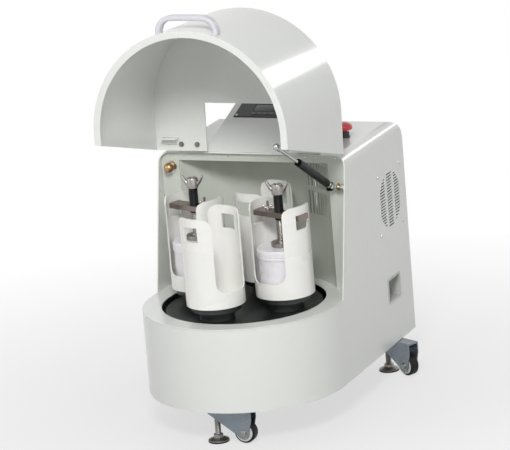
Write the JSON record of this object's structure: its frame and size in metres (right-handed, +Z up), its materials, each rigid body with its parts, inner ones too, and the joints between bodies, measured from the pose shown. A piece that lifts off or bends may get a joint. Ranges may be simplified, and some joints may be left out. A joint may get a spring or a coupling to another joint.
{
  "type": "planetary ball mill",
  "caption": "Floor standing planetary ball mill with an open hinged hood, round nose, jar holders on a turntable, and levelling casters.",
  "frame": {"origin": "on the floor, under the middle of the machine's bounding box", "axes": "+X to the machine's left seen from behind (the viewer's right at the front), +Y to the rear, +Z up"},
  "size_m": [0.5636, 0.7019, 1.006],
  "materials": {
    "housing": "smooth off-white paint",
    "rear_panel": "smooth off-white paint",
    "deck_plate": "smooth off-white paint",
    "chamber_liner": "smooth off-white paint",
    "console": "smooth off-white paint",
    "drive_unit": "fine black grain",
    "base_plate": "grey primer",
    "support_plate": "grey primer",
    "column": "turned steel",
    "sun_pulley": "turned aluminium",
    "motor": "grey enamel",
    "fan_frame": "black plastic",
    "mains_pocket": "moulded plastic",
    "hinge_leaves": "zinc plated steel",
    "cabinet_strut_stud": "zinc plated steel",
    "spare_stud": "passivated yellow",
    "estop_collar": "black plastic",
    "caster_plates": "zinc plated steel",
    "drive_belt": "black rubber",
    "motor_pulley": "turned aluminium",
    "turntable_disc": "black anodised",
    "main_shaft": "turned steel",
    "planet_bearings": "ground steel",
    "planet_belts": "black rubber",
    "spindle": "black anodised",
    "holder": "warm white paint",
    "jar": "white polymer",
    "clamp_bar": "machined steel",
    "clamp_screw": "steel",
    "lock_nut": "bright plated steel",
    "lid_shell": "smooth off-white paint",
    "lid_handle": "pale grey plastic",
    "lid_hinge_leaves": "zinc plated steel",
    "lid_strut_stud": "bright plated steel",
    "strut_cylinder": "black enamel",
    "strut_rod": "ground chrome",
    "caster_fork": "blue-grey enamel",
    "caster_wheel": "black tread on a pale core",
    "foot": "zinc plated steel",
    "estop_button": "red plastic",
    "fan_rotor": "black plastic",
    "speed_knob": "dark plastic"
  },
  "bodies": {
    "cabinet": {"housing": "housing", "rear_panel": "rear_panel", "deck_plate": "deck_plate", "chamber_liner": "chamber_liner", "console": "console", "drive_unit": "drive_unit", "base_plate": "base_plate", "support_plate": "support_plate", "column": "column", "sun_pulley": "sun_pulley", "motor": "motor", "fan_frame": "fan_frame", "mains_pocket": "mains_pocket", "hinge_leaves": "hinge_leaves", "cabinet_strut_stud": "cabinet_strut_stud", "spare_stud": "spare_stud", "estop_collar": "estop_collar", "caster_plates": "caster_plates", "drive_belt": "drive_belt"},
    "motor_drive": {"motor_pulley": "motor_pulley"},
    "turntable": {"turntable_disc": "turntable_disc", "main_shaft": "main_shaft", "planet_bearings": "planet_bearings", "planet_belts": "planet_belts"},
    "planet_1": {"spindle_1": "spindle", "holder_1": "holder"},
    "planet_2": {"spindle_2": "spindle", "holder_2": "holder", "jar_2": "jar", "jar_lid_2": "jar", "clamp_bar_2": "clamp_bar"},
    "planet_3": {"spindle_3": "spindle", "holder_3": "holder"},
    "planet_4": {"spindle_4": "spindle", "holder_4": "holder", "jar_4": "jar", "jar_lid_4": "jar", "clamp_bar_4": "clamp_bar"},
    "clamp_2": {"clamp_screw_2": "clamp_screw"},
    "clamp_4": {"clamp_screw_4": "clamp_screw"},
    "lock_2": {"lock_nut_2": "lock_nut"},
    "lock_4": {"lock_nut_4": "lock_nut"},
    "hood": {"lid_shell": "lid_shell", "lid_handle": "lid_handle", "lid_hinge_leaves": "lid_hinge_leaves", "lid_strut_stud": "lid_strut_stud"},
    "strut_tube": {"strut_cylinder": "strut_cylinder"},
    "strut_piston": {"strut_rod": "strut_rod"},
    "fork_1": {"caster_fork_1": "caster_fork"},
    "fork_2": {"caster_fork_2": "caster_fork"},
    "fork_3": {"caster_fork_3": "caster_fork"},
    "wheel_1": {"caster_wheel_1": "caster_wheel"},
    "wheel_2": {"caster_wheel_2": "caster_wheel"},
    "wheel_3": {"caster_wheel_3": "caster_wheel"},
    "foot_1": {"foot_1": "foot"},
    "foot_2": {"foot_2": "foot"},
    "foot_3": {"foot_3": "foot"},
    "estop": {"estop_button": "estop_button"},
    "fan": {"fan_rotor": "fan_rotor"},
    "knob": {"speed_knob": "speed_knob"}
  },
  "joints": [
    {"name": "turntable_spin", "type": "hinge", "parent": "cabinet", "child": "turntable", "pos_m": [0, -0.115, 0.25], "axis": [0, 0, 1], "continuous": true},
    {"name": "planet_1_spin", "type": "hinge", "parent": "turntable", "child": "planet_1", "pos_m": [-0.01799, -0.22858, 0.26], "axis": [0, 0, 1], "continuous": true},
    {"name": "planet_2_spin", "type": "hinge", "parent": "turntable", "child": "planet_2", "pos_m": [0.11358, -0.13299, 0.26], "axis": [0, 0, 1], "continuous": true},
    {"name": "planet_3_spin", "type": "hinge", "parent": "turntable", "child": "planet_3", "pos_m": [0.01799, -0.00142, 0.26], "axis": [0, 0, 1], "continuous": true},
    {"name": "planet_4_spin", "type": "hinge", "parent": "turntable", "child": "planet_4", "pos_m": [-0.11358, -0.09701, 0.26], "axis": [0, 0, 1], "continuous": true},
    {"name": "hood_hinge", "type": "hinge", "parent": "cabinet", "child": "hood", "pos_m": [0, -0.014, 0.6092], "axis": [1, 0, 0], "range_deg": [0, 93], "stiffness_Nm_per_rad": 16, "springref_deg": -91.67},
    {"name": "strut_pivot", "type": "hinge", "parent": "cabinet", "child": "strut_tube", "pos_m": [0.2, -0.021, 0.532], "axis": [1, 0, 0], "range_deg": [0, 100]},
    {"name": "strut_rod_slide", "type": "slide", "parent": "strut_tube", "child": "strut_piston", "axis": [0, -0.8682, 0.4961], "range_m": [-0.108, 0]},
    {"name": "estop_press", "type": "slide", "parent": "cabinet", "child": "estop", "axis": [0, 0, -1], "range_m": [0, 0.004], "stiffness_N_per_m": 2500, "springref_m": -0.002},
    {"name": "caster_1_swivel", "type": "hinge", "parent": "cabinet", "child": "fork_1", "pos_m": [-0.01, -0.295, 0.08], "axis": [0, 0, 1], "continuous": true},
    {"name": "wheel_1_spin", "type": "hinge", "parent": "fork_1", "child": "wheel_1", "pos_m": [0.06, -0.295, 0.027], "axis": [0, 1, 0], "continuous": true},
    {"name": "foot_1_turn", "type": "hinge", "parent": "cabinet", "child": "foot_1", "pos_m": [-0.01, -0.295, 0.04], "axis": [0, 0, 1], "continuous": true},
    {"name": "caster_2_swivel", "type": "hinge", "parent": "cabinet", "child": "fork_2", "pos_m": [0.192, 0.268, 0.08], "axis": [0, 0, 1], "continuous": true},
    {"name": "wheel_2_spin", "type": "hinge", "parent": "fork_2", "child": "wheel_2", "pos_m": [0.25492, 0.23731, 0.027], "axis": [0.4384, 0.8988, 0], "continuous": true},
    {"name": "foot_2_turn", "type": "hinge", "parent": "cabinet", "child": "foot_2", "pos_m": [0.192, 0.268, 0.04], "axis": [0, 0, 1], "continuous": true},
    {"name": "caster_3_swivel", "type": "hinge", "parent": "cabinet", "child": "fork_3", "pos_m": [-0.192, 0.268, 0.08], "axis": [0, 0, 1], "continuous": true},
    {"name": "wheel_3_spin", "type": "hinge", "parent": "fork_3", "child": "wheel_3", "pos_m": [-0.25492, 0.23731, 0.027], "axis": [0.4384, -0.8988, 0], "continuous": true},
    {"name": "foot_3_turn", "type": "hinge", "parent": "cabinet", "child": "foot_3", "pos_m": [-0.192, 0.268, 0.04], "axis": [0, 0, 1], "continuous": true},
    {"name": "clamp_screw_2_turn", "type": "hinge", "parent": "planet_2", "child": "clamp_2", "pos_m": [0.11358, -0.13299, 0.5], "axis": [0, 0, 1], "continuous": true},
    {"name": "lock_nut_2_turn", "type": "hinge", "parent": "planet_2", "child": "lock_2", "pos_m": [0.0822, -0.12279, 0.505], "axis": [0, 0, 1], "continuous": true},
    {"name": "clamp_screw_4_turn", "type": "hinge", "parent": "planet_4", "child": "clamp_4", "pos_m": [-0.11358, -0.09701, 0.5], "axis": [0, 0, 1], "continuous": true},
    {"name": "lock_nut_4_turn", "type": "hinge", "parent": "planet_4", "child": "lock_4", "pos_m": [-0.0822, -0.10721, 0.505], "axis": [0, 0, 1], "continuous": true},
    {"name": "motor_pulley_spin", "type": "hinge", "parent": "cabinet", "child": "motor_drive", "pos_m": [0, 0.195, 0.115], "axis": [0, 0, 1], "continuous": true},
    {"name": "fan_spin", "type": "hinge", "parent": "cabinet", "child": "fan", "pos_m": [0.22, 0.246, 0.432], "axis": [1, 0, 0], "continuous": true},
    {"name": "speed_knob_turn", "type": "hinge", "parent": "cabinet", "child": "knob", "pos_m": [0.06, 0.1652, 0.66362], "axis": [0, -0.3156, 0.9489], "range_deg": [0, 270]}
  ],
  "couplings": [
    {"joint": "planet_1_spin", "follows": "turntable_spin", "ratio": -3},
    {"joint": "planet_2_spin", "follows": "turntable_spin", "ratio": -3},
    {"joint": "planet_3_spin", "follows": "turntable_spin", "ratio": -3},
    {"joint": "planet_4_spin", "follows": "turntable_spin", "ratio": -3},
    {"joint": "motor_pulley_spin", "follows": "turntable_spin", "ratio": 2.5},
    {"joint": "strut_pivot", "follows": "hood_hinge", "ratio": 1.064},
    {"joint": "strut_rod_slide", "follows": "hood_hinge", "m_per_rad": -0.06597}
  ]
}
